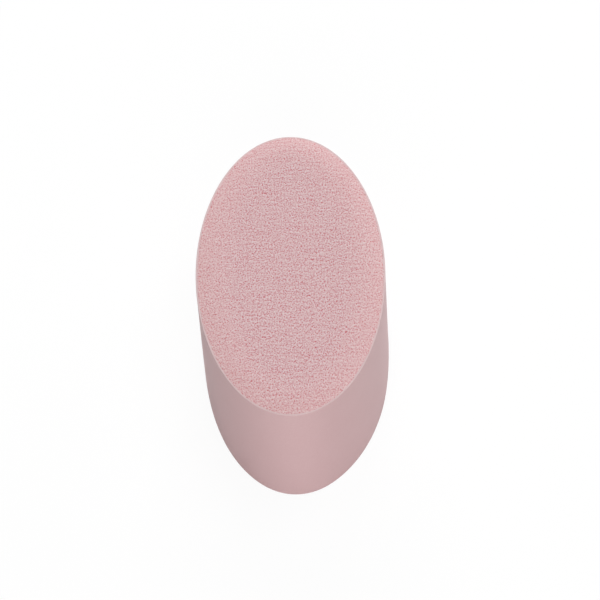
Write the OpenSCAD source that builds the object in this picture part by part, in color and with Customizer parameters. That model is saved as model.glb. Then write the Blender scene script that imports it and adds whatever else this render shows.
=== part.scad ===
// Thick oval makeup sponge, lying on its closed back with the applicator pad up.
// A thin moulded skin wraps the side and the back of a springy foam core. A soft pad
// is bonded over the core and sits in a step inside the skin's thin lip.
// Z = 0 is the resting face, Y runs along the oval, and the origin is its middle.

/* [Overall size] */
// Width across the oval
sponge_w = 40; // [30:0.5:52]
// Length along the oval
sponge_l = 76; // [60:0.5:95]
// Thickness from the resting face to the middle of the pad
sponge_t = 28.2; // [20:0.1:40]

/* [Outer skin] */
// Side wall of the skin beside the core
wall_t = 1.2; // [0.8:0.1:2]
// Closed back of the skin under the core
back_t = 1.6; // [1:0.1:3]
// Radius of the rounded edge round the back
heel_r = 0.5; // [0.2:0.1:0.8]
// Width of the thin lip round the pad
lip_w = 0.45; // [0.35:0.05:0.7]
// Radius that rounds each side of the lip
lip_r = 0.15; // [0.05:0.05:0.15]

/* [Foam core] */
// Radius of the core's lower edge and of the corner it sits in
core_r = 1.5; // [0.5:0.1:3]

/* [Face pad] */
// Thickness of the pad at its rim
pad_t = 3.2; // [2:0.1:5]
// Height of the pad's rim above the lip
pad_proud = 0.3; // [0.2:0.1:0.8]
// Radius of the pad's rounded rim
pad_rim_r = 0.5; // [0.3:0.1:1.2]
// Rise of the pad's face from its rim to its middle
pad_crown = 0.4; // [0.1:0.1:1]

/* [Bond] */
// Thickness of the adhesive film under the pad
bond_t = 0.2; // [0.1:0.05:0.4]

/* [Fit] */
// Clearance between the skin and the pieces inside it
fit_gap = 0.08; // [0.05:0.01:0.2]

/* [Smoothness] */
// Steps round the oval
oval_steps = 92; // [48:4:96]
// Steps along each rounded edge
arc_steps = 4; // [2:1:4]
// Steps along each round of the thin lip
lip_steps = 2; // [1:1:3]

/* [Hidden] */
skin_colour = [0.80, 0.67, 0.67];
core_colour = [0.87, 0.76, 0.76];
bond_colour = [0.90, 0.86, 0.82];
pad_colour = [0.83, 0.69, 0.70];

// One overrun for the cut that opens the skin
overrun = 0.5;
// Rings of the pad's crown, as shares of the oval inside its rim. The last one is
// the outline of the level middle.
crown_shares = [0.85, 0.65, 0.4, 0.1];

// Heights, from the resting face up: back, core, bond film, pad
rim_z = sponge_t - pad_crown;
pad_z = rim_z - pad_t;
ledge_z = pad_z - bond_t;
lip_z = rim_z - pad_proud;

// Distances in from the oval outline to the sides of the inner pieces
core_inset = wall_t + fit_gap;
pad_inset = lip_w + fit_gap;

// A point of the oval at one angle, moved straight in from the outline by inset
function oval_point(angle, inset) =
    let (
        on_outline = [sponge_w / 2 * cos(angle), sponge_l / 2 * sin(angle)],
        across = [sponge_l * cos(angle), sponge_w * sin(angle)]
    )
    on_outline - inset * across / norm(across);

// One ring of a solid: its inset, its height, and its size as a share of that oval
function ring(inset, z, share = 1) =
    [for (i = [0 : oval_steps - 1])
        let (p = share * oval_point(360 * i / oval_steps, inset))
        [p[0], p[1], z]];

// Rings along a round of radius r. Its centre is inset and z, angle 0 points inward
// and angle 90 points up.
function round_rings(inset, z, r, from, to, steps = arc_steps) =
    [for (i = [0 : steps])
        let (a = from + (to - from) * i / steps)
        ring(inset + r * cos(a), z + r * sin(a))];

// Rings of a lower edge of radius r, from its flat at height z out to inset
function rounded_base(inset, z, r) = round_rings(inset + r, z + r, r, 270, 180);

// Height of the pad's crown at one share of the oval inside its rim
function crown_z(share) =
    rim_z + pad_crown * sin(90 * (1 - share) / (1 - min(crown_shares)));

// Closes a stack of rings, listed from the bottom up, into one solid
module oval_solid(rings) {
    n = oval_steps;
    last = len(rings) - 1;
    sides = [
        for (k = [0 : last - 1], i = [0 : n - 1])
            let (a = k * n + i, b = k * n + (i + 1) % n)
            each [[a, a + n, b + n], [a, b + n, b]]
    ];
    underside = [for (i = [0 : n - 1]) i];
    top = [for (i = [n - 1 : -1 : 0]) last * n + i];
    polyhedron(
        points = [for (one = rings) each one],
        faces = concat([underside, top], sides)
    );
}

// The closed outer form of the skin, from the rounded heel up to the lip
module skin_block() {
    oval_solid(concat(
        rounded_base(0, 0, heel_r),
        round_rings(lip_r, lip_z - lip_r, lip_r, 180, 90, lip_steps)
    ));
}

// The space in the skin: a round-cornered hollow for the core, then a wider step
// that seats the film and the pad, opening past the inner round of the lip
module skin_hollow() {
    oval_solid(concat(
        rounded_base(wall_t, back_t, core_r),
        [ring(wall_t, ledge_z), ring(lip_w, ledge_z)],
        round_rings(lip_w - lip_r, lip_z - lip_r, lip_r, 0, 90, lip_steps),
        [ring(lip_w - lip_r, lip_z + overrun)]
    ));
}

// Smooth moulded skin: side wall, closed back and thin lip in one piece
module outer_skin() {
    color(skin_colour)
    difference() {
        skin_block();
        skin_hollow();
    }
}

// Open-cell core that fills the skin up to the step
module foam_core() {
    color(core_colour)
    oval_solid(concat(
        rounded_base(core_inset, back_t, core_r),
        [ring(core_inset, ledge_z)]
    ));
}

// Thin adhesive film that lies on the core and on the step
module bond_film() {
    color(bond_colour)
    oval_solid([ring(pad_inset, ledge_z), ring(pad_inset, pad_z)]);
}

// Soft applicator pad with a rounded rim and a slightly crowned face
module face_pad() {
    flat_inset = pad_inset + pad_rim_r;
    color(pad_colour)
    oval_solid(concat(
        [ring(pad_inset, pad_z)],
        round_rings(flat_inset, rim_z - pad_rim_r, pad_rim_r, 180, 90),
        [for (share = crown_shares) ring(flat_inset, crown_z(share), share)]
    ));
}

outer_skin();
foam_core();
bond_film();
face_pad();
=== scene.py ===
"""A thick oval makeup sponge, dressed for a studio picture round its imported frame.

A smooth moulded skin cups a springy foam core. A cut-foam applicator pad is bonded
on top and stands a little proud of the skin's thin lip. Everything is in metres, in
the frame's own axes: Z up from the resting face, Y along the oval.
"""

import math

import bpy
import numpy as np
from bpy.props import FloatProperty, FloatVectorProperty, PointerProperty
from bpy.types import Operator, Panel, PropertyGroup
from mathutils import Matrix, Vector, geometry, noise


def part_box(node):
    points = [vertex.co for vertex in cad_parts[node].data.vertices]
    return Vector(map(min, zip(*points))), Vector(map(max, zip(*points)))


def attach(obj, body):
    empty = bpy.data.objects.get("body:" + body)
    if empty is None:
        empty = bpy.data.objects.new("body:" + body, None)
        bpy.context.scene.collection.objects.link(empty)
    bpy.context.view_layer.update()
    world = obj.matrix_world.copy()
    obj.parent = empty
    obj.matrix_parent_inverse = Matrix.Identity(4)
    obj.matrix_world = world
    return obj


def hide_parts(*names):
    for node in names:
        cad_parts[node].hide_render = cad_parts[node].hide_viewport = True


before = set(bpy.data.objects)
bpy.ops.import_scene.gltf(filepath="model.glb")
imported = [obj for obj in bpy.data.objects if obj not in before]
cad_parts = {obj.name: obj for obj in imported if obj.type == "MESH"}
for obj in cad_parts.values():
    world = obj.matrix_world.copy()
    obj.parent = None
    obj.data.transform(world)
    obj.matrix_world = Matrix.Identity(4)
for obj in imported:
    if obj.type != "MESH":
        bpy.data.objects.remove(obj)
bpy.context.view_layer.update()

bl_info = {
    "name": "Oval Makeup Sponge",
    "version": (1, 0, 0),
    "blender": (4, 5, 0),
    "location": "3D View > Sidebar > Sponge",
    "description": "Builds a makeup sponge: moulded skin, foam core, film and pad",
    "category": "Add Mesh",
}

# The body that every piece rides on, and the boxes of the CAD pieces
BODY = "root"
SKIN_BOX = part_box("outer_skin")
CORE_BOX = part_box("foam_core")
FILM_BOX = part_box("bond_film")
PAD_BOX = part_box("face_pad")

# Steps round the oval, along each rounded edge, and up the walls of skin and core
ROUND_STEPS = 480
EDGE_STEPS = 6
WALL_STEPS = 44
CORE_STEPS = 60

# Fine steps for each of the points that are set at even distances round an oval
FINE_STEPS = 16

# Sizes of the rings that close the ends of the skin and the core
DISC_SHARES = (0.15, 0.4, 0.65, 0.85)

# The soft wall: the length of its waver's waves, and how far under the lip it is whole
WALL_WAVES = 0.011
WAVER_FADE = 0.002

# The wall's lower edge: the length of its waves, how they are drawn out upwards, where
# they are read from the noise, and how far in the edge leans, as a share of the waver
BASE_WAVES = 0.02
BASE_STRETCH = (1.0, 1.0, 0.3)
BASE_WANDER = (-0.103, -0.162, 0.079)
BASE_LEAN = 0.1

# The lip: the length of its slow waves and of its fine ones, how strong the fine ones
# are, and how much narrower the waver makes it overall
LIP_WAVES = 0.004
LIP_NICKS = 0.0011
NICK_SHARE = 0.8
LIP_TRIM = 0.3

# The core's pores: their spacing, and how deep they are as a share of its half width
CORE_PORES = 0.0011
CORE_DENT = 0.003

# The pad's foam: its seed, the step of the map it is drawn on, and the map's margin
FOAM_SEED = 27
FOAM_STEP = 0.00005
FOAM_MARGIN = 0.003

# Places tried for the open cells, and how far inside the map's edge they stay
CELL_TRIES = 26000
CELL_MARGIN = 0.001

# The cells' radii: how mixed they are, their limits, and how much longer than wide a
# cell may be. Then how steep a cell's side is, and its reach in steps of the map.
CELL_SPREAD = 0.28
CELL_RADII = (0.00009, 0.0003)
CELL_STRETCH = (1.0, 1.45)
CELL_STEEPNESS = 1.25
CELL_REACH = 8

# How deep the cells are: usually, by chance, and for each metre of radius over the
# usual one, all between two limits
DEPTH_USUAL = 0.75
DEPTH_CHANCE = 0.3
DEPTH_BY_RADIUS = 2500.0
DEPTH_LIMITS = (0.1, 1.3)

# Rings of mesh points in each cell: the share of its radii, and the number of points
CELL_RINGS = ((0.55, 3), (1.0, 6))

# The ground between the cells: how rough it is, and how mixed its strands' spacing is
GROUND_LEVEL = 0.15
GROUND_SPREAD = 0.4

# How the drawn foam is evened: the share that swells over a length lose, the share that
# edges under a length gain, the level of the whole, and how much a band is calmed
LONG_SWELLS = (0.0019, 0.45)
CRISP_EDGES = (0.0005, 0.55)
EVENED_LEVEL = 1.07
CALM_SHARE = 0.18
CALM_LENGTH = 0.00078
CALM_SPREAD = 0.3

# How far the cells line up in rows across the face over a length, and the other way
# under it
LONG_ROWS = (0.0008, 0.36)
SHORT_ROWS = 0.08

# Fine marks of the foam knife across the face: the length of their waves and their
# strength, how mixed their spacing is, and how long each mark is
KNIFE_MARKS = ((0.0011, 0.05), (0.0032, 0.014))
KNIFE_SPREAD = 0.35
KNIFE_LENGTH = 0.0126

# Where the face lies in the map's depths, as a share of the deepest cells
FACE_LEVEL = 0.39

# The pad's mesh, in shares of its spacing: the points of its rim, the room between the
# rim and the face's points, and the distance at which two points become one
RIM_SPACING = 0.7
RIM_ROOM = 0.4
SAME_POINT = 0.32

# How deep the map may be where the mesh still takes it for ground between the cells
OPEN_GROUND = 0.01

# Allowance for the oval's outline, longer than a circle of its mean size
OVAL_ALLOWANCE = 1.02

# Least steps round the pad's rim, and how close they are; then two rows down its side
RIM_STEPS = 3
RIM_CLOSENESS = 1.1
SIDE_SHARES = (0.3, 1.0)

# How far in from the pad's rim its warmer, paler tone reaches, how soon it fades, and how
# much of the tone there is at the rim. The tone is partly the foam's warmer edge and partly
# painted glow of light through the thin rim.
TINT_REACH = 0.012
TINT_FADE = 1.5
TINT_AND_GLOW_SHARE = 0.24

# Grains to the metre of the finishes, and how much the pores deepen the foam's colour with
# painted shade
SKIN_CLOUDS = 160.0
SKIN_GRAIN = 2600.0
FOAM_PORES = 3900.0
FILM_PATCHES = 420.0
PORE_SHADE_SHARE = 1.05

# How the moulded skin's colour turns in its redder and its paler specks
SKIN_FLUSH = (0.945, 0.9, 0.9)
SKIN_PALE = (1.055, 1.1, 1.1)

# The laid-out maps: the width of their end bands, where a map's end begins that a face
# may cross to its start, and the size of the pad's underside on its map
MAP_BAND = 0.02
MAP_END = 0.9
UNDERSIDE = 0.2

# The triangles of the face are worked out in millimetres, to this closeness
MILLIMETRES = 1000.0
CLOSENESS = 1e-6

QUARTER_TURN = 0.5 * math.pi

# Stands in for 0 where it can't be divided by or has no logarithm
NEXT_TO_NOTHING = 1e-9

# The camera: how far off, where it looks, and its turn, tilt and roll in degrees. Then
# the side of the picture and the length of the lens, both in pixels.
CAMERA_DISTANCE = 0.9
CAMERA_TARGET = (0.001454, 0.003372, 0.014)
CAMERA_TURN = -2.235
CAMERA_TILT = 50.862
CAMERA_ROLL = -4.287
PICTURE_SIDE = 600
FOCAL_PIXELS = 4214.0

# Softboxes: turn from the front towards +X, height in degrees, distance, side, watts
LAMPS = {
    "front_softbox": (-1, 21, 1.1, 0.7, 7.7),
    "side_softbox": (130, 15, 1.1, 0.5, 2.6),
    "rear_softbox": (181, 20, 1.1, 0.6, 10.8),
    "top_softbox": (90, 80, 1.0, 0.8, 5.4),
}

# Strength of the plain light from all round
AMBIENT = 0.06

# The floor: half its side, how far under the sponge it lies, its grey, and how much of
# it reads as plain white
FLOOR_HALF = 2.0
FLOOR_DROP = 0.00002
FLOOR_GREY = (0.94, 0.94, 0.94, 1.0)
FLOOR_WHITE = 0.92
WHITE = (1.0, 1.0, 1.0, 1.0)


# Properties


def length(name, description, default):
    """A size property in metres."""
    return FloatProperty(
        name=name, description=description, default=default,
        min=0.0, precision=5, unit="LENGTH", subtype="DISTANCE",
    )


def colour(name, description, default):
    """A colour property, in linear light."""
    return FloatVectorProperty(
        name=name, description=description, default=default,
        size=3, min=0.0, max=1.0, subtype="COLOR",
    )


class SpongeSkinSizes(PropertyGroup):
    """Sizes of the moulded skin and of the space in it."""

    half_width: length("Half width", "From the middle to the side", SKIN_BOX[1].x)
    half_length: length("Half length", "From the middle to the end", SKIN_BOX[1].y)
    lip_height: length("Lip height", "Top of the lip", SKIN_BOX[1].z)
    seat_height: length("Seat height", "Step that seats the film", FILM_BOX[0].z)
    back: length("Back", "Thickness of the closed back", CORE_BOX[0].z)
    wall: length("Wall", "Thickness of the side wall", 0.0012)
    heel_radius: length("Heel radius", "Rounded edge round the back", 0.0005)
    corner_radius: length("Corner radius", "Corner that the core sits in", 0.0015)
    lip_width: length("Lip width", "Width of the lip round the pad", 0.0004)
    lip_round: length("Lip round", "Radius of the lip's outer edge", 0.00015)
    lip_corner: length("Lip corner", "Radius of the lip's inner edge", 0.00004)
    lip_waver: length("Lip waver", "How far the lip's width wanders", 0.00009)
    wall_waver: length("Wall waver", "How far the soft wall wanders", 0.00006)
    base_waver: length("Base waver", "How far the wall's lower edge wanders", 0.0004)


class SpongePadSizes(PropertyGroup):
    """Sizes of the applicator pad and of the foam it is cut from."""

    foot_height: length("Foot height", "Underside of the pad", PAD_BOX[0].z)
    top_height: length("Top height", "Middle of the pad's face", PAD_BOX[1].z)
    crown: length("Crown", "Rise of the face from its rim", 0.0006)
    shoulder: length("Shoulder", "How far in the face curves down to its rim", 0.0055)
    rim_run: length("Rim run", "How far in the pad's rim is rounded", 0.0003)
    clearance: length("Clearance", "Gap between the pad and the lip", 0.00001)
    cell: length("Cell", "Least distance between open cells", 0.00035)
    cell_radius: length("Cell radius", "Radius of a usual open cell", 0.000128)
    pit_depth: length("Pit depth", "Depth of the deepest open cells", 0.00008)
    ground: length("Ground", "Spacing of the strands between the cells", 0.00062)
    spacing: length("Mesh spacing", "Distance between mesh points", 0.00027)


class SpongeColours(PropertyGroup):
    """Colours of the four pieces."""

    skin: colour("Skin", "Moulded skin", (0.556, 0.374, 0.380))
    # Paler lip and heel: painted highlight, and on the lip partly also its trimmed edge
    lip: colour("Lip", "Trimmed lip and rubbed heel of the skin", (0.65, 0.485, 0.49))
    strand: colour("Strand", "Foam strands of the pad", (0.680, 0.565, 0.573))
    # Painted shade: the colour of the open cells and pores where they are hollow
    pit: colour("Pit", "Open cells of the pad", (0.484, 0.098, 0.118))
    # Partly the foam's warmer edge, partly painted glow through the pad's thin rim
    rim: colour("Rim", "Warmer tone of the pad towards its rim", (0.84, 0.50, 0.49))
    core: colour("Core", "Springy foam core", (0.70, 0.50, 0.50))
    film: colour("Film", "Adhesive film", (0.76, 0.70, 0.62))


# Shaders


class Signal:
    """A node's output. An expression on signals and numbers adds its Math nodes."""

    def __init__(self, finish, socket):
        self.finish = finish
        self.socket = socket

    def output(self, name):
        """Another output of the same node."""
        return Signal(self.finish, self.socket.node.outputs[name])

    def _maths(self, operation, first, second):
        return self.finish.add(
            "ShaderNodeMath", {"operation": operation}, {0: first, 1: second}
        )

    def __add__(self, other):
        return self._maths("ADD", self, other)

    def __radd__(self, other):
        return self._maths("ADD", other, self)

    def __sub__(self, other):
        return self._maths("SUBTRACT", self, other)

    def __rsub__(self, other):
        return self._maths("SUBTRACT", other, self)

    def __mul__(self, other):
        return self._maths("MULTIPLY", self, other)

    def __rmul__(self, other):
        return self._maths("MULTIPLY", other, self)


class Finish:
    """The node tree of a material or of the world, put together in code."""

    def __init__(self, owner):
        owner.use_nodes = True
        self.owner = owner
        self.tree = owner.node_tree
        self.tree.nodes.clear()

    def add(self, kind, settings=None, inputs=None, output=0):
        """Adds a node: its settings first, then the values or links of its sockets."""
        node = self.tree.nodes.new(kind)
        for name, value in (settings or {}).items():
            setattr(node, name, value)
        for key, value in (inputs or {}).items():
            if isinstance(value, Signal):
                self.tree.links.new(value.socket, node.inputs[key])
            else:
                node.inputs[key].default_value = value
        return Signal(self, node.outputs[output]) if node.outputs else None

    def mix(self, share, first, second):
        """A colour between two others."""
        return self.add(
            "ShaderNodeMix", {"data_type": "RGBA"}, {0: share, 6: first, 7: second}, 2
        )

    def speckle(self, scale, detail, roughness=0.5):
        """Noise in object space, at so many grains to the metre."""
        return self.add(
            "ShaderNodeTexNoise",
            {"noise_dimensions": "3D"},
            {
                "Vector": self.add("ShaderNodeTexCoord", output="Object"),
                "Scale": scale, "Detail": detail, "Roughness": roughness,
            },
        )

    def marked(self, name):
        """The share that the mesh holds under a name."""
        return self.add("ShaderNodeAttribute", {"attribute_name": name}, output="Fac")

    def bump(self, strength, distance, height):
        """A normal that follows fine relief of this depth."""
        return self.add(
            "ShaderNodeBump", {},
            {"Strength": strength, "Distance": distance, "Height": height},
        )


def opaque(rgb, shade=1.0):
    """A property's colour as a socket takes it, made lighter or darker by shade."""
    return (*np.clip(np.multiply(rgb, shade), 0.0, 1.0), 1.0)


def surface(finish, inputs):
    """Ends a material in one Principled shader with these sockets."""
    shader = finish.add("ShaderNodeBsdfPrincipled", {}, inputs)
    finish.add("ShaderNodeOutputMaterial", {}, {"Surface": shader})
    return finish.owner


def skin_finish(rgb, trim_and_highlight_rgb):
    """Satin moulded skin: mottled and grained, paler at the trimmed lip and heel by painted
    highlight.
    """
    finish = Finish(bpy.data.materials.new("moulded_skin_satin"))
    clouds = finish.speckle(SKIN_CLOUDS, detail=3.0)
    grain = finish.speckle(SKIN_GRAIN, detail=3.0, roughness=0.75)
    tone = 0.25 * clouds + 0.75 * grain
    side = finish.mix(tone, opaque(rgb, SKIN_FLUSH), opaque(rgb, SKIN_PALE))
    # Paler at the lip and heel: painted highlight, and on the lip partly also its trimmed
    # edge
    trim_and_painted_highlight = finish.marked("trim_and_painted_highlight") * (0.5 + grain)
    return surface(finish, {
        "Base Color": finish.mix(trim_and_painted_highlight, side, opaque(trim_and_highlight_rgb)),
        "Roughness": 0.6 + 0.12 * grain,
        "Normal": finish.bump(0.12, 0.00005, grain),
        "Specular IOR Level": 0.2,
        "Sheen Weight": 0.07,
        "Sheen Roughness": 0.4,
    })


def foam_finish(name, strand, colours):
    """Cut foam: the mesh says where the cells lie, and finer pores are added.
    Cells and pores get painted shade where hollow; the rim a warmer tone and painted glow.
    """
    finish = Finish(bpy.data.materials.new(name))
    cells = finish.marked("pit")
    pores = finish.speckle(FOAM_PORES, detail=1.0)
    # Painted shade: deeper, redder colour where the cells and pores are hollow
    depth = cells + PORE_SHADE_SHARE * (0.5 - pores)
    foam = finish.mix(depth, opaque(strand), opaque(colours.pit))
    # Towards the rim: partly a warmer tone of the foam, partly painted glow through its thin
    # edge
    tint_and_glow = TINT_AND_GLOW_SHARE * finish.marked("rim")
    return surface(finish, {
        "Base Color": finish.mix(tint_and_glow, foam, opaque(colours.rim)),
        "Roughness": 0.88 + 0.1 * cells,
        "Normal": finish.bump(0.1, 0.0001, pores),
        "Specular IOR Level": 0.2,
        "Sheen Weight": 0.2,
        "Sheen Roughness": 0.5,
    })


def film_finish(rgb):
    """Dried adhesive: thin and thick places, slightly glossy."""
    finish = Finish(bpy.data.materials.new("bond_film_adhesive"))
    patches = finish.speckle(FILM_PATCHES, detail=4.0)
    return surface(finish, {
        "Base Color": finish.mix(patches, opaque(rgb, 0.9), opaque(rgb, 1.05)),
        "Roughness": 0.3 + 0.2 * patches,
        "Normal": finish.bump(0.3, 0.00005, patches),
    })


# Ovals and waves


def even_angles(half_width, half_length, count):
    """Angles that set points at even distances round the oval."""
    fine = np.linspace(0.0, 2.0 * math.pi, FINE_STEPS * count + 1)
    line = np.stack([half_width * np.cos(fine), half_length * np.sin(fine)], -1)
    steps = np.linalg.norm(np.diff(line, axis=0), axis=1)
    along = np.concatenate([[0.0], np.cumsum(steps)])
    return np.interp(np.linspace(0.0, along[-1], count, endpoint=False), along, fine)


def outward(skin, angles):
    """Unit vectors that point straight out of the oval at these angles."""
    across = np.stack(
        [skin.half_length * np.cos(angles), skin.half_width * np.sin(angles)], -1
    )
    return across / np.linalg.norm(across, axis=1, keepdims=True)


def ring(skin, angles, inset, height, share=1.0):
    """Points round the oval, moved in by inset, at one height, drawn in by share."""
    line = np.stack(
        [skin.half_width * np.cos(angles), skin.half_length * np.sin(angles)], -1
    )
    plan = share * (line - outward(skin, angles) * np.reshape(inset, (-1, 1)))
    return np.column_stack([plan, np.broadcast_to(height, len(angles))])


def edge_rings(skin, angles, inset, height, radius, start, end):
    """Rings along a rounded edge. Angle 0 points inward and angle 90 points up."""
    turns = np.radians(np.linspace(start, end, EDGE_STEPS + 1))
    return [
        ring(skin, angles, inset + radius * np.cos(a), height + radius * np.sin(a))
        for a in turns
    ]


def wander(points, size):
    """Smooth noise from -1 to 1 at each point, with waves of this size."""
    return np.array([noise.noise(Vector(p) / size) for p in points])


def longer(waves, size, share):
    """A share for waves over a size, and less of it the shorter they are."""
    return share / (1.0 + (size * waves) ** 4)


def around(waves, size, spread):
    """1 for waves of a size, and less the further they are from it."""
    return np.exp(-0.5 * (np.log(size * waves) / spread) ** 2)


# Meshes


def mark(piece, name, shares):
    """Stores a share from 0 to 1 at each mesh point, for the piece's finish."""
    attribute = piece.data.attributes.new(name, "FLOAT", "POINT")
    attribute.data.foreach_set("value", shares.astype(np.float32))


def new_piece(name, points, faces, uvs, material, node):
    """A smooth mesh piece that rides on the body, stands for a node and has its map."""
    mesh = bpy.data.meshes.new(name)
    mesh.from_pydata(points.tolist(), [], faces)
    corners = np.empty(len(mesh.loops), np.int32)
    mesh.loops.foreach_get("vertex_index", corners)
    layer = mesh.uv_layers.new(name="OFBake")
    layer.data.foreach_set("uv", uvs(corners, mesh).astype(np.float32).ravel())
    mesh.materials.append(material)
    mesh.validate()
    mesh.shade_smooth()
    piece = bpy.data.objects.new(name, mesh)
    bpy.context.scene.collection.objects.link(piece)
    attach(piece, BODY)
    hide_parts(node)
    return piece


def strip_faces(rings, count):
    """Quads between rings of count points that follow one another."""
    k, i = np.meshgrid(np.arange(rings - 1), np.arange(count), indexing="ij")
    a, b = k * count + i, k * count + (i + 1) % count
    return np.stack([a, b, b + count, a + count], -1).reshape(-1, 4).tolist()


def past_seam(u, mesh):
    """Moves a map's corners on by 1 in the faces that cross from its end to its start."""
    counts = [p.loop_total for p in mesh.polygons]
    crosses = [
        u[p.loop_start:p.loop_start + p.loop_total].max() > MAP_END for p in mesh.polygons
    ]
    return np.where(np.repeat(crosses, counts) & (u < 0.5), u + 1.0, u)


def swept_piece(name, rings, material, node):
    """Closes a stack of rings, from the middle of one end to the middle of the other."""
    count, last = len(rings[0]), len(rings) - 1
    middles = np.array([rings[0].mean(axis=0), rings[-1].mean(axis=0)])
    points = np.concatenate([*rings, middles])
    start, end = len(points) - 2, len(points) - 1
    faces = strip_faces(len(rings), count)
    faces += [[start, (i + 1) % count, i] for i in range(count)]
    faces += [
        [end, last * count + i, last * count + (i + 1) % count] for i in range(count)
    ]

    def unwrap(corners, mesh):
        """The rings laid flat: along them one way and across them the other."""
        along = np.cumsum([MAP_BAND] + [
            np.linalg.norm(b - a, axis=1).mean() for a, b in zip(rings[:-1], rings[1:])
        ])
        far = along[-1] + MAP_BAND
        across = np.append(np.repeat(along, count), [0.0, far])
        turned = np.append(np.tile(np.arange(count) / count, len(rings)), [0.0, 0.0])
        return np.stack([past_seam(turned[corners], mesh), across[corners] / far], -1)

    return new_piece(name, points, faces, unwrap, material, node)


# Skin, core and film


def lip_insets(skin, angles):
    """Distance from the outline to the lip's inner edge, a little uneven."""
    line = ring(skin, angles, 0.0, 0.0)
    slow, fine = wander(line, LIP_WAVES), wander(line, LIP_NICKS)
    return skin.lip_width + skin.lip_waver * (slow + NICK_SHARE * fine - LIP_TRIM)


def soften(skin, angles, rings, top):
    """Moves a wall's rings in and out a little, as soft foam lies, up to its top."""
    for one in rings:
        under = np.clip((top - one[:, 2]) / WAVER_FADE, 0.0, 1.0)
        low = np.clip(1.0 - one[:, 2] / top, 0.0, 1.0)
        waver = 0.5 + 0.5 * wander(one, WALL_WAVES)
        sway = BASE_LEAN + wander(one * BASE_STRETCH + BASE_WANDER, BASE_WAVES)
        depth = skin.wall_waver * under * waver + skin.base_waver * low * sway
        one[:, :2] -= outward(skin, angles) * depth[:, None]


def outer_rings(skin, angles):
    """Rings from the middle of the back, round the heel and up the wall to the lip."""
    heel_radius, lip_edge = skin.heel_radius, skin.lip_height - skin.lip_round
    back = [ring(skin, angles, heel_radius, 0.0, s) for s in DISC_SHARES]
    heel = edge_rings(skin, angles, heel_radius, heel_radius, heel_radius, 270, 180)
    wall = [
        ring(skin, angles, 0.0, z)
        for z in np.linspace(heel_radius, lip_edge, WALL_STEPS + 1)[1:-1]
    ]
    soften(skin, angles, heel + wall, lip_edge)
    lip = edge_rings(skin, angles, skin.lip_round, lip_edge, skin.lip_round, 180, 90)
    return back + heel + wall + lip


def inner_rings(skin, angles):
    """Rings from the lip down its inside to the seat, the hollow and its middle."""
    lip, lip_corner = lip_insets(skin, angles), skin.lip_corner
    edge = edge_rings(
        skin, angles, lip - lip_corner, skin.lip_height - lip_corner, lip_corner, 90, 0
    )
    seat = [ring(skin, angles, inset, skin.seat_height) for inset in (lip, skin.wall)]
    radius = skin.corner_radius
    inset = skin.wall + radius
    corner = edge_rings(skin, angles, inset, skin.back + radius, radius, 180, 270)
    floor = [ring(skin, angles, inset, skin.back, s) for s in reversed(DISC_SHARES)]
    return edge + seat + corner + floor


def make_skin(skin, colours):
    """The moulded skin: side wall, closed back and thin lip in one shell."""
    angles = even_angles(skin.half_width, skin.half_length, ROUND_STEPS)
    rings = outer_rings(skin, angles) + inner_rings(skin, angles)
    made = swept_piece(
        "moulded_skin", rings, skin_finish(colours.skin, colours.lip),
        "outer_skin",
    )
    heights = np.concatenate([one[:, 2] for one in rings] + [[0.0, 0.0]])
    # Shares for the paler lip and a ridge round the heel: painted highlight, and on the lip
    # partly its trimmed edge
    trimmed = np.clip(1.0 - (skin.lip_height - heights) / skin.lip_round, 0.0, 1.0)
    up = np.clip(heights / skin.heel_radius, 0.0, 1.0)
    mark(made, "trim_and_painted_highlight", trimmed + 2.0 * up * (1.0 - up))


def make_core(skin, colours):
    """The springy foam core that fills the skin up to its step."""
    angles = even_angles(skin.half_width, skin.half_length, ROUND_STEPS // 2)
    inset = SKIN_BOX[1].x - CORE_BOX[1].x
    low, high = CORE_BOX[0].z, CORE_BOX[1].z
    radius = skin.corner_radius
    heights = np.linspace(low + radius, high, CORE_STEPS)[1:]
    rings = [ring(skin, angles, inset + radius, low, s) for s in DISC_SHARES]
    rings += edge_rings(skin, angles, inset + radius, low + radius, radius, 270, 180)
    rings += [ring(skin, angles, inset, z) for z in heights]
    rings += [ring(skin, angles, inset, high, s) for s in reversed(DISC_SHARES)]
    pits = [np.clip(0.5 + wander(one, CORE_PORES), 0.0, 1.0) for one in rings]
    for one, pit in zip(rings, pits):
        one[:, :2] *= 1.0 - CORE_DENT * pit[:, None]
    core = swept_piece(
        "springy_foam_core", rings, foam_finish("core_foam", colours.core, colours),
        "foam_core",
    )
    # The dents' depth, which the core's finish darkens with painted shade
    mark(core, "pit", np.concatenate([*pits, [0.0, 0.0]]))


def finish_film(colours):
    """The adhesive film keeps its CAD shape and gets its own finish."""
    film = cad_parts["bond_film"]
    film.data.materials.clear()
    film.data.materials.append(film_finish(colours.film))


# Cut foam


def scattered_spots(rng, half, gap, tries):
    """Random places in a rectangle, none nearer to another than gap."""
    taken, spots = {}, []
    for spot in rng.uniform(-half, half, (tries, 2)):
        column, row = (spot // gap).astype(int)
        near = [
            other for i in (-1, 0, 1) for j in (-1, 0, 1)
            for other in taken.get((column + i, row + j), ())
        ]
        if all(math.dist(spot, other) >= gap for other in near):
            taken.setdefault((column, row), []).append(spot)
            spots.append(spot)
    return np.array(spots)


def share_kept(across, along, waves):
    """How much of each wave of the drawn foam stays when it is evened."""
    keep = 1.0 - longer(waves, *LONG_SWELLS)
    keep += CRISP_EDGES[1] - longer(waves, *CRISP_EDGES)
    keep *= EVENED_LEVEL - CALM_SHARE * around(waves, CALM_LENGTH, CALM_SPREAD)
    rows = longer(waves, *LONG_ROWS) - SHORT_ROWS
    keep *= 1.0 + rows * (along ** 2 - across ** 2) / waves ** 2
    keep[0, 0] = 0.0
    return keep


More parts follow.
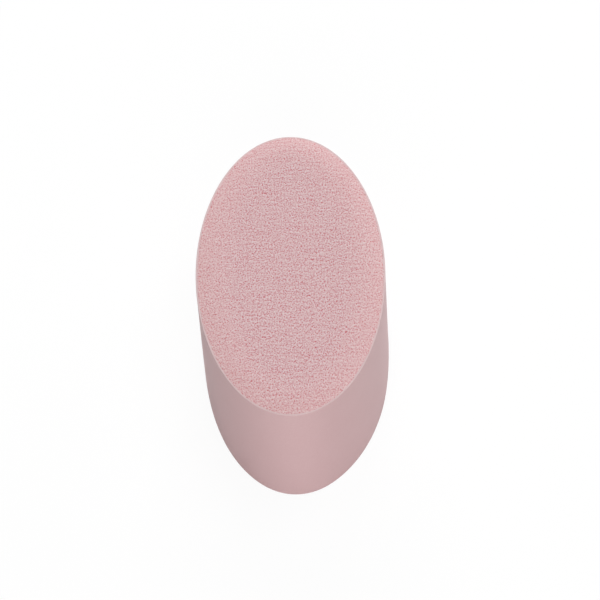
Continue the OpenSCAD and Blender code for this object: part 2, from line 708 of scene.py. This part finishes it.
class Foam:
    """Cut foam as a map of depth: open cells, scattered over uneven ground."""

    def __init__(self, pad, skin):
        rng = np.random.default_rng(FOAM_SEED)
        self.half = np.array([skin.half_width, skin.half_length]) + FOAM_MARGIN
        self.shape = tuple(np.ceil(2.0 * self.half[::-1] / FOAM_STEP).astype(int) + 1)
        self.spots = scattered_spots(rng, self.half - CELL_MARGIN, pad.cell, CELL_TRIES)
        count = len(self.spots)
        radii = pad.cell_radius * np.exp(CELL_SPREAD * rng.standard_normal(count))
        radii = np.clip(radii, *CELL_RADII)
        self.turns = rng.uniform(0.0, math.pi, count)
        stretch = np.sqrt(rng.uniform(*CELL_STRETCH, count))
        self.long_radii, self.short_radii = radii * stretch, radii / stretch
        strengths = DEPTH_USUAL + DEPTH_CHANCE * rng.standard_normal(count)
        strengths += DEPTH_BY_RADIUS * (radii - pad.cell_radius)
        self.strengths = np.clip(strengths, *DEPTH_LIMITS)
        self.cells = self.drawn_cells()
        self.depths = self.evened(rng, pad.ground)

    def drawn_cells(self):
        """The cells drawn on the map: 1 at the bottom of a usual deep one, 0 outside."""
        cells = np.zeros(self.shape)
        cos, sin = np.cos(self.turns), np.sin(self.turns)
        nearest = np.round((self.spots + self.half) / FOAM_STEP).astype(int)
        for step in np.ndindex(2 * CELL_REACH + 1, 2 * CELL_REACH + 1):
            place = nearest + step - CELL_REACH
            x, y = (place * FOAM_STEP - self.half - self.spots).T
            share = np.hypot(
                (x * cos + y * sin) / self.long_radii, (y * cos - x * sin) / self.short_radii
            )
            depth = np.clip(CELL_STEEPNESS * (1.0 - share ** 2), 0.0, 1.0)
            np.maximum.at(cells, (place[:, 1], place[:, 0]), self.strengths * depth)
        return cells

    def drawn_noise(self, rng, strengths):
        """Noise on the map with waves of these strengths, at a spread of 1."""
        waves = np.fft.rfft2(rng.standard_normal(self.shape)) * strengths
        drawn = np.fft.irfft2(waves, self.shape)
        return drawn / drawn.std()

    def evened(self, rng, strands):
        """The cells over rough ground, evened, with the marks of the foam knife."""
        across = np.fft.rfftfreq(self.shape[1], FOAM_STEP)[None, :]
        along = np.fft.fftfreq(self.shape[0], FOAM_STEP)[:, None]
        waves = np.hypot(across, along) + NEXT_TO_NOTHING
        ground = self.drawn_noise(rng, around(waves, strands, GROUND_SPREAD) / waves)
        drawn = np.fft.rfft2(self.cells + GROUND_LEVEL * ground)
        depths = np.fft.irfft2(drawn * share_kept(across, along, waves), self.shape)
        for size, strength in KNIFE_MARKS:
            marks = around(np.abs(along) + NEXT_TO_NOTHING, size, KNIFE_SPREAD)
            marks = marks / np.sqrt(1.0 + (KNIFE_LENGTH * across) ** 2)
            depths += strength * self.drawn_noise(rng, marks)
        return depths

    def at(self, drawn, plan):
        """A map's values at points of the plan, between the map's own points."""
        place = (plan + self.half) / FOAM_STEP
        column, row = np.floor(place).astype(int).T
        u, v = (place - np.floor(place)).T
        low = drawn[row, column] * (1 - u) + drawn[row, column + 1] * u
        high = drawn[row + 1, column] * (1 - u) + drawn[row + 1, column + 1] * u
        return low * (1 - v) + high * v

    def cell_points(self):
        """Mesh points of the cells: a middle and two rings each."""
        points = [self.spots]
        cos, sin = np.cos(self.turns), np.sin(self.turns)
        for share, steps in CELL_RINGS:
            for angle in 2.0 * math.pi * (np.arange(steps) + 0.5) / steps:
                x = share * self.long_radii * math.cos(angle)
                y = share * self.short_radii * math.sin(angle)
                offset = np.stack([x * cos - y * sin, x * sin + y * cos], -1)
                points.append(self.spots + offset)
        return np.concatenate(points)


# Pad


def lattice(half, spacing):
    """Points of a three-way lattice over a rectangle."""
    rows = np.arange(-half[1], half[1], spacing * math.sqrt(0.75))
    columns = np.arange(-half[0], half[0] + spacing, spacing)
    x, y = np.meshgrid(columns, rows)
    x = x + 0.5 * spacing * (np.arange(len(rows)) % 2)[:, None]
    return np.stack([x.ravel(), y.ravel()], -1)


def room_inside(rim, points):
    """How far each point lies inside the rim, along the line from the middle."""
    turns = np.arctan2(rim[:, 1], rim[:, 0])
    order = np.argsort(turns)
    reach = np.interp(
        np.arctan2(points[:, 1], points[:, 0]),
        turns[order], np.linalg.norm(rim, axis=1)[order], period=2.0 * math.pi,
    )
    return reach - np.linalg.norm(points, axis=1)


def face_plan(rim, spacing, foam):
    """Points of the face: its rim, the cells and the ground between, none too close."""
    between = lattice(rim.max(axis=0), spacing)
    between = between[foam.at(foam.cells, between) < OPEN_GROUND]
    points = np.concatenate([foam.cell_points(), between])
    points = points[room_inside(rim, points) > RIM_ROOM * spacing]
    places = np.round(points / (SAME_POINT * spacing)).astype(int)
    _, first = np.unique(places, axis=0, return_index=True)
    return np.concatenate([rim, points[np.sort(first)]])


def face_triangles(plan, rim_count):
    """Triangles over a plan whose first points are its rim."""
    flat, _, faces, origins, _, _ = geometry.delaunay_2d_cdt(
        [Vector(p) for p in plan * MILLIMETRES], [], [list(range(rim_count))],
        1, CLOSENESS,
    )
    if len(flat) != len(plan) or any(len(o) != 1 for o in origins):
        raise RuntimeError("the pad's face lost or gained points")
    order = [int(o[0]) for o in origins]
    return [[order[i] for i in f] for f in faces]


def face_heights(pad, plan, reach):
    """The crowned face's height at each point, and how warm its tone is there, partly
    painted glow.
    """
    slope = 2.0 * np.linalg.norm(plan / reach ** 2, axis=1) + NEXT_TO_NOTHING
    inside = (1.0 - ((plan / reach) ** 2).sum(axis=1)) / slope
    curved = np.clip(1.0 - inside / pad.shoulder, 0.0, 1.0)
    tint_and_glow = np.clip(1.0 - inside / TINT_REACH, 0.0, 1.0) ** TINT_FADE
    return pad.top_height - pad.crown * curved ** 2, tint_and_glow


def rim_rows(pad, skin):
    """Rows round the pad's rim, as (inset, height, way out, way up, length so far)."""
    drop = pad.top_height - pad.crown - skin.lip_height
    steps = max(RIM_STEPS, math.ceil(RIM_CLOSENESS * (pad.rim_run + drop) / pad.spacing))
    rows, travelled, last = [], 0.0, (pad.rim_run, 0.0)
    for turn in np.linspace(0.0, QUARTER_TURN, steps + 1)[1:]:
        out, up = math.sin(turn), math.cos(turn)
        spot = (pad.rim_run * (1.0 - out), -drop * (1.0 - up))
        travelled += math.dist(last, spot)
        last = spot
        stretch = math.hypot(out / pad.rim_run, up / drop)
        fade = 1.0 - (turn / QUARTER_TURN) ** 4
        rows.append((
            *spot, fade * out / pad.rim_run / stretch, fade * up / drop / stretch,
            travelled,
        ))
    return rows


def side_rows(pad, skin):
    """Rows of the same kind down the pad's side, after those of its rim."""
    rows = rim_rows(pad, skin)
    side = skin.lip_height - pad.foot_height
    _, low, _, _, travelled = rows[-1]
    return rows + [
        (0.0, low - share * side, 0.0, 0.0, travelled + share * side)
        for share in SIDE_SHARES
    ]


def side_faces(first, rows, count):
    """Quads from the rim down the rows, which begin at first, then the underside."""
    starts = [0] + [first + k * count for k in range(rows)]
    faces = [
        [b + i, b + (i + 1) % count, a + (i + 1) % count, a + i]
        for a, b in zip(starts[:-1], starts[1:]) for i in range(count)
    ]
    last, foot = starts[-1], starts[-1] + count
    return faces + [[foot, last + (i + 1) % count, last + i] for i in range(count)]


def pad_shape(pad, skin, foam):
    """The pad's points, the way out at each, its unrolled plan, warmer rim tone and painted
    glow, and faces.
    """
    perimeter = math.pi * (skin.half_width + skin.half_length) * OVAL_ALLOWANCE
    count = round(perimeter / (RIM_SPACING * pad.spacing))
    angles = even_angles(skin.half_width, skin.half_length, count)
    outline, away = lip_insets(skin, angles) + pad.clearance, outward(skin, angles)
    rim_height = pad.top_height - pad.crown
    rim = ring(skin, angles, outline + pad.rim_run, rim_height)[:, :2]
    plan = face_plan(rim, pad.spacing, foam)
    heights, tint_and_glow = face_heights(pad, plan, rim.max(axis=0))
    points, plans = [np.column_stack([plan, heights])], [plan]
    ways = [np.tile([0.0, 0.0, 1.0], (len(plan), 1))]
    rows = side_rows(pad, skin)
    for inset, height, out, up, travelled in rows:
        points.append(ring(skin, angles, outline + inset, rim_height + height))
        ways.append(np.column_stack([away * out, np.full(count, up)]))
        plans.append(rim + away * travelled)
    points.append([[0.0, 0.0, points[-1][0, 2]]])
    ways.append([[0.0, 0.0, 0.0]])
    plans.append([[0.0, 0.0]])
    faces = face_triangles(plan, count) + side_faces(len(plan), len(rows), count)
    tint_and_glow = np.append(tint_and_glow, np.ones(len(rows) * count + 1))
    return (*map(np.concatenate, (points, ways, plans)), tint_and_glow, faces, count)


def make_pad(pad, skin, colours):
    """The applicator pad: a rounded, slightly crowned slab of cut foam."""
    foam = Foam(pad, skin)
    points, ways, plans, tint_and_glow, faces, count = pad_shape(pad, skin, foam)
    edge = foam.half - 2 * FOAM_STEP
    depths = foam.at(foam.depths, np.clip(plans, -edge, edge))
    pits = np.clip(FACE_LEVEL + depths, 0.0, 1.0)
    points = points - ways * (pad.pit_depth * pits)[:, None]
    flat = 2.0 * np.abs(plans).max()

    def unwrap(corners, mesh):
        """The face and its rim laid flat, with the underside small in a corner."""
        uv = 0.5 + plans[corners] / flat
        under = np.repeat(
            np.arange(len(mesh.polygons)) >= len(mesh.polygons) - count,
            [p.loop_total for p in mesh.polygons],
        )
        uv[under] = MAP_BAND + UNDERSIDE * (uv[under] - uv[under].min(axis=0))
        return uv

    made = new_piece(
        "applicator_pad", points, faces, unwrap,
        foam_finish("pad_foam", colours.strand, colours), "face_pad",
    )
    # The cells' depth, which the finish darkens with painted shade
    mark(made, "pit", pits)
    # The warmer tone towards the rim, partly painted glow through the thin edge
    mark(made, "rim", tint_and_glow)


# Stage


def lit_white(finish, kind):
    """Where the background itself is looked at, and a plain white of this kind."""
    path = finish.add("ShaderNodeLightPath", output="Is Camera Ray")
    seen = path + path.output("Is Glossy Ray") + path.output("Is Transmission Ray")
    return seen, finish.add(kind, {}, {"Color": WHITE, "Strength": 1.0})


def make_floor():
    """A plain pale floor that reads as white and keeps a faint shadow."""
    corners = [(-1, -1), (1, -1), (1, 1), (-1, 1)]
    mesh = bpy.data.meshes.new("studio_floor")
    mesh.from_pydata(
        [(FLOOR_HALF * x, FLOOR_HALF * y, -FLOOR_DROP) for x, y in corners],
        [], [[0, 1, 2, 3]],
    )
    floor = bpy.data.objects.new("studio_floor", mesh)
    bpy.context.scene.collection.objects.link(floor)
    finish = Finish(bpy.data.materials.new("studio_floor_white"))
    seen, white = lit_white(finish, "ShaderNodeEmission")
    matte = finish.add("ShaderNodeBsdfDiffuse", {}, {"Color": FLOOR_GREY})
    mixed = finish.add(
        "ShaderNodeMixShader", {}, {0: FLOOR_WHITE * seen, 1: matte, 2: white}
    )
    finish.add("ShaderNodeOutputMaterial", {}, {"Surface": mixed})
    mesh.materials.append(finish.owner)


def light_world():
    """A white surround that lights the object at a plain, even level."""
    world = bpy.data.worlds.new("studio_surround")
    bpy.context.scene.world = world
    finish = Finish(world)
    seen, white = lit_white(finish, "ShaderNodeBackground")
    soft = finish.add(
        "ShaderNodeBackground", {}, {"Color": WHITE, "Strength": AMBIENT}
    )
    mixed = finish.add("ShaderNodeMixShader", {}, {0: seen, 1: soft, 2: white})
    finish.add("ShaderNodeOutputWorld", {}, {"Surface": mixed})


def hang_lamp(name, turn, height, distance, side, watts):
    """One square softbox that faces the sponge."""
    light = bpy.data.lights.new(name, "AREA")
    light.size = side
    light.energy = watts
    lamp = bpy.data.objects.new(name, light)
    a, e = math.radians(turn), math.radians(height)
    way = Vector((math.sin(a) * math.cos(e), -math.cos(a) * math.cos(e), math.sin(e)))
    lamp.location = Vector(CAMERA_TARGET) + way * distance
    lamp.rotation_euler = way.to_track_quat("Z", "Y").to_euler()
    bpy.context.scene.collection.objects.link(lamp)


def set_camera():
    """A long lens at the photograph's angle, rolled as the photograph is."""
    turn, tilt, roll = map(math.radians, (CAMERA_TURN, CAMERA_TILT, CAMERA_ROLL))
    ahead = Vector((
        math.sin(turn) * math.cos(tilt), math.cos(turn) * math.cos(tilt), -math.sin(tilt)
    ))
    right = Vector((math.cos(turn), -math.sin(turn), 0.0))
    up = right.cross(ahead)
    across = math.cos(roll) * right + math.sin(roll) * up
    above = math.cos(roll) * up - math.sin(roll) * right
    lens = bpy.data.cameras.new("studio_camera")
    lens.lens = FOCAL_PIXELS * lens.sensor_width / PICTURE_SIDE
    camera = bpy.data.objects.new("studio_camera", lens)
    place = Matrix((across, above, -ahead)).transposed().to_4x4()
    place.translation = Vector(CAMERA_TARGET) - ahead * CAMERA_DISTANCE
    camera.matrix_world = place
    bpy.context.scene.collection.objects.link(camera)
    bpy.context.scene.camera = camera


def set_stage():
    """Floor, surround, softboxes, camera and the plain view of colour."""
    make_floor()
    light_world()
    for name, setting in LAMPS.items():
        hang_lamp(name, *setting)
    set_camera()
    bpy.context.scene.view_settings.view_transform = "Standard"


# Operators and panel


class SpongeStep:
    """What the sponge's operators share."""

    bl_options = {"REGISTER", "UNDO"}


class SPONGE_OT_skin(SpongeStep, Operator):
    """Build the moulded skin with its closed back and thin lip"""

    bl_idname = "sponge.skin"
    bl_label = "Moulded Skin"

    def execute(self, context):
        make_skin(context.scene.sponge_skin, context.scene.sponge_colours)
        return {"FINISHED"}


class SPONGE_OT_core(SpongeStep, Operator):
    """Build the springy foam core inside the skin"""

    bl_idname = "sponge.core"
    bl_label = "Foam Core"

    def execute(self, context):
        make_core(context.scene.sponge_skin, context.scene.sponge_colours)
        return {"FINISHED"}


class SPONGE_OT_film(SpongeStep, Operator):
    """Give the adhesive film its finish"""

    bl_idname = "sponge.film"
    bl_label = "Adhesive Film"

    def execute(self, context):
        finish_film(context.scene.sponge_colours)
        return {"FINISHED"}


class SPONGE_OT_pad(SpongeStep, Operator):
    """Build the applicator pad of cut foam"""

    bl_idname = "sponge.pad"
    bl_label = "Applicator Pad"

    def execute(self, context):
        scene = context.scene
        make_pad(scene.sponge_pad, scene.sponge_skin, scene.sponge_colours)
        return {"FINISHED"}


class SPONGE_OT_stage(SpongeStep, Operator):
    """Set the floor, the softboxes and the camera"""

    bl_idname = "sponge.stage"
    bl_label = "Studio Stage"

    def execute(self, context):
        set_stage()
        return {"FINISHED"}


class SPONGE_PT_panel(Panel):
    """Lists the sponge's sizes and colours and the steps that make it."""

    bl_idname = "SPONGE_PT_panel"
    bl_label = "Makeup Sponge"
    bl_space_type = "VIEW_3D"
    bl_region_type = "UI"
    bl_category = "Sponge"

    def draw(self, context):
        for name in GROUPS:
            group, box = getattr(context.scene, name), self.layout.box()
            for size_or_colour in group.__annotations__:
                box.prop(group, size_or_colour)
        for step in STEPS:
            self.layout.operator(step.bl_idname)


STEPS = (SPONGE_OT_skin, SPONGE_OT_core, SPONGE_OT_film, SPONGE_OT_pad, SPONGE_OT_stage)
GROUPS = {
    "sponge_skin": SpongeSkinSizes,
    "sponge_pad": SpongePadSizes,
    "sponge_colours": SpongeColours,
}


def register():
    """Makes the sizes, the colours, the steps and their panel known to Blender."""
    for one in (*GROUPS.values(), *STEPS, SPONGE_PT_panel):
        bpy.utils.register_class(one)
    for name, group in GROUPS.items():
        setattr(bpy.types.Scene, name, PointerProperty(type=group))


def unregister():
    """Takes them out again, in the opposite order."""
    for name in GROUPS:
        delattr(bpy.types.Scene, name)
    for one in (SPONGE_PT_panel, *reversed(STEPS), *GROUPS.values()):
        bpy.utils.unregister_class(one)


def main():
    """Makes the sponge and its stage."""
    register()
    bpy.ops.sponge.skin()
    bpy.ops.sponge.core()
    bpy.ops.sponge.film()
    bpy.ops.sponge.pad()
    bpy.ops.sponge.stage()


if __name__ == "__main__":
    main()
